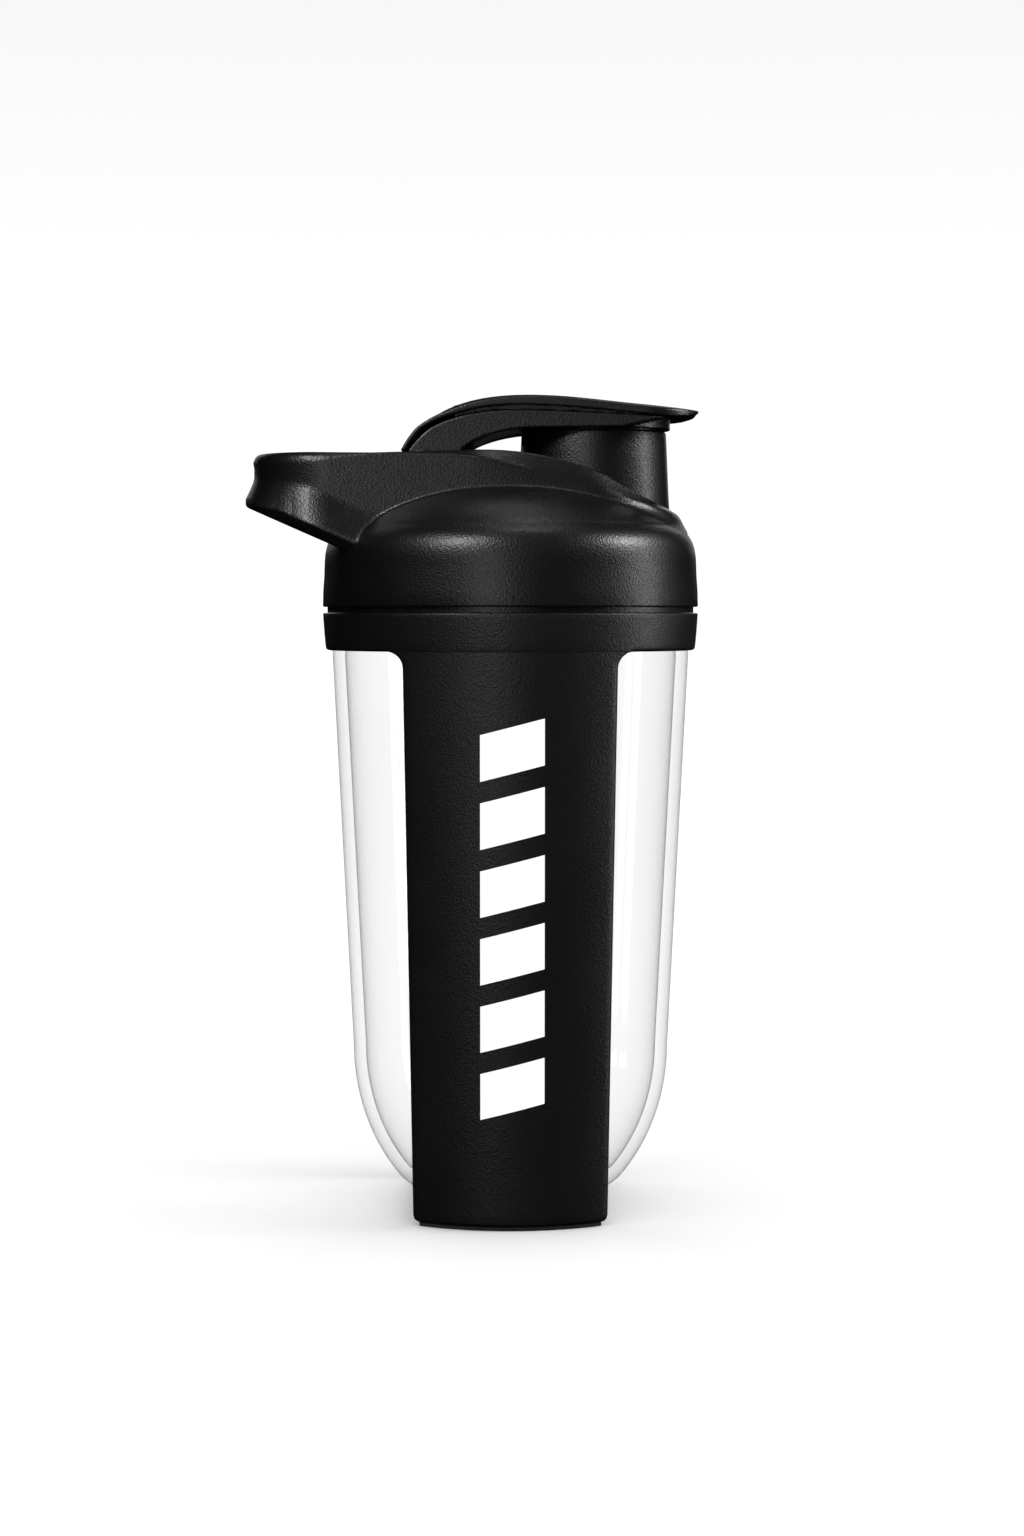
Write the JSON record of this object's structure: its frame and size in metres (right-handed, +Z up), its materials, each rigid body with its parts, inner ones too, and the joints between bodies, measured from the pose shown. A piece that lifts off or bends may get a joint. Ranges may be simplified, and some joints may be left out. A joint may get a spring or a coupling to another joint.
{
  "type": "protein shaker bottle",
  "caption": "Clear shaker cup with a rounded bottom in a black strap sleeve, with a screw lid, carry loop, wide spout and hinged flip cap.",
  "frame": {"origin": "centre of the base, on the surface the bottle stands on", "axes": "+Z up along the cup's axis; +X towards the spout and thumb tab, so the carry loop is at -X; +Y to the back"},
  "size_m": [0.1151, 0.0952, 0.2057],
  "materials": {
    "clear_plastic": "clear, polished moulded copolyester",
    "black_plastic": "matte black with a fine moulded pebble grain",
    "lid_plastic": "matte black with a fine moulded pebble grain",
    "cap_plastic": "matte black with a fine moulded pebble grain",
    "grid_plastic": "smooth satin black",
    "sole_rubber": "dull black rubber",
    "silicone": "soft dark grey silicone",
    "steel": "ground stainless steel",
    "white_print": "matt white printing ink on the front strap"
  },
  "bodies": {
    "bottle": {"cup": "clear_plastic", "sleeve": "black_plastic", "base_pad": "sole_rubber"},
    "gasket": {"lid_gasket": "silicone"},
    "lid": {"lid_shell": "lid_plastic", "carry_loop": "lid_plastic", "hinge_pin": "steel"},
    "cap": {"flip_cap": "cap_plastic", "cap_cover": "cap_plastic", "spout_plug": "silicone"},
    "grid": {"strainer": "grid_plastic"}
  },
  "joints": [
    {"name": "lid_lift", "type": "slide", "parent": "bottle", "child": "gasket", "axis": [0, 0, 1], "range_m": [0, 0.0148]},
    {"name": "lid_turn", "type": "hinge", "parent": "gasket", "child": "lid", "pos_m": [0, 0, 0.158], "axis": [0, 0, 1], "range_deg": [0, 630]},
    {"name": "cap_flip", "type": "hinge", "parent": "lid", "child": "cap", "pos_m": [-0.022, 0, 0.1872], "axis": [0, -1, 0], "range_deg": [0, 105]},
    {"name": "strainer_pull", "type": "slide", "parent": "lid", "child": "grid", "axis": [0, 0, -1], "range_m": [0, 0.02]}
  ],
  "couplings": [
    {"joint": "lid_lift", "follows": "lid_turn", "m_per_rad": 0.0013369}
  ]
}
